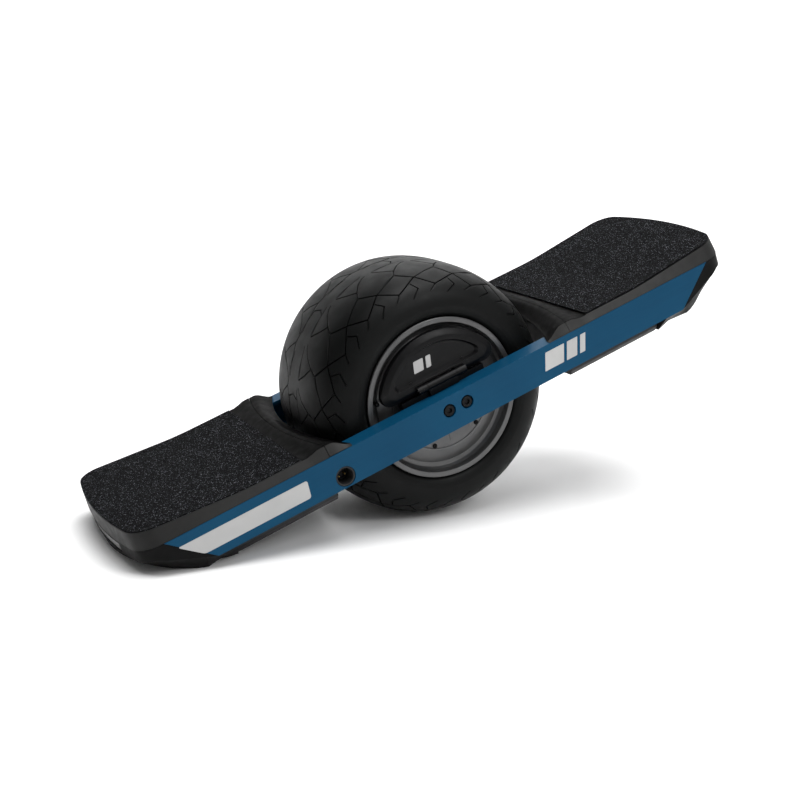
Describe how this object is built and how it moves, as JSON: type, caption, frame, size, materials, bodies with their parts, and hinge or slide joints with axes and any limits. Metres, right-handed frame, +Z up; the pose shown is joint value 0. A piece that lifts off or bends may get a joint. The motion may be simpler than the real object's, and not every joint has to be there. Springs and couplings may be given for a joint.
{
  "type": "single-wheel self-balancing electric board",
  "caption": "Self-balancing electric board: one wide tyre set between two blue rails, a gripped footpad at each end and a fold-out carry handle, leaning on its rear bumper.",
  "frame": {"origin": "centre of the bounding box on the floor that the tyre and the rear bumper rest on", "axes": "+X towards the board's front, which is raised; +Y to the rider's left; +Z up; the deck slopes down towards -X"},
  "size_m": [0.7279, 0.2414, 0.3082],
  "materials": {
    "anodised_rail": "blue anodised, fine brushed grain",
    "tyre": "matt black rubber",
    "hub_paint": "cast, satin dark grey powder coat",
    "deck_plastic": "fine moulded texture",
    "bumper_plastic": "fine moulded texture",
    "grip": "coarse grit with light specks",
    "sensor_film": "amber printed film",
    "steel": "bright machined",
    "cast_aluminium": "cast, blasted",
    "black_steel": "black oxide",
    "housing": "fine moulded texture",
    "cells": "blue shrink wrap over cells",
    "circuit": "green solder mask",
    "copper": "enamelled copper wire",
    "brass": "plated contact",
    "lens": "smoked, glossy",
    "handle_plastic": "satin, nearly black",
    "button": "brushed"
  },
  "bodies": {
    "board": {"axle_block_left": "cast_aluminium", "axle_block_right": "cast_aluminium", "axle_bolt_left_1": "black_steel", "axle_bolt_left_2": "black_steel", "axle_bolt_right_1": "black_steel", "axle_bolt_right_2": "black_steel", "axle_shaft": "steel", "battery_board": "circuit", "battery_box": "housing", "battery_brick_left": "cells", "battery_brick_right": "cells", "battery_lid": "housing", "charge_pin_1": "brass", "charge_pin_2": "brass", "charge_pin_3": "brass", "charge_port": "housing", "controller_board": "circuit", "controller_box": "housing", "controller_lid": "housing", "foot_sensor": "sensor_film", "front_bumper": "bumper_plastic", "front_fender_lip": "deck_plastic", "front_footpad": "deck_plastic", "front_grip": "grip", "front_light_board": "circuit", "front_light_lens": "lens", "handle_bracket": "black_steel", "handle_hinge_pin": "steel", "pad_screw_left_1": "black_steel", "pad_screw_left_2": "black_steel", "pad_screw_left_3": "black_steel", "pad_screw_left_4": "black_steel", "pad_screw_right_1": "black_steel", "pad_screw_right_2": "black_steel", "pad_screw_right_3": "black_steel", "pad_screw_right_4": "black_steel", "power_button_bezel": "black_steel", "power_switch": "housing", "rail_left": "anodised_rail", "rail_right": "anodised_rail", "rear_bumper": "bumper_plastic", "rear_fender_lip": "deck_plastic", "rear_footpad": "deck_plastic", "rear_grip": "grip", "rear_light_board": "circuit", "rear_light_lens": "lens", "stator_core": "steel", "winding_left": "copper", "winding_right": "copper"},
    "wheel": {"tyre": "tyre", "hub_shell": "hub_paint", "magnet_ring": "steel", "hub_cover_left": "hub_paint", "hub_cover_right": "hub_paint", "bearing_left": "steel", "bearing_right": "steel", "valve_stem": "black_steel"},
    "handle": {"carry_handle": "handle_plastic", "handle_magnet": "steel"},
    "button": {"power_button": "button"}
  },
  "joints": [
    {"name": "wheel_spin", "type": "hinge", "parent": "board", "child": "wheel", "pos_m": [0.0043, 0, 0.14206], "axis": [0, 1, 0], "continuous": true},
    {"name": "handle_fold", "type": "hinge", "parent": "board", "child": "handle", "pos_m": [-0.00477, -0.099, 0.16643], "axis": [0.9372, 0, 0.3489], "range_deg": [0, 95]},
    {"name": "power_button_press", "type": "slide", "parent": "board", "child": "button", "axis": [0, -1, 0], "range_m": [0, 0.0015], "stiffness_N_per_m": 800}
  ]
}
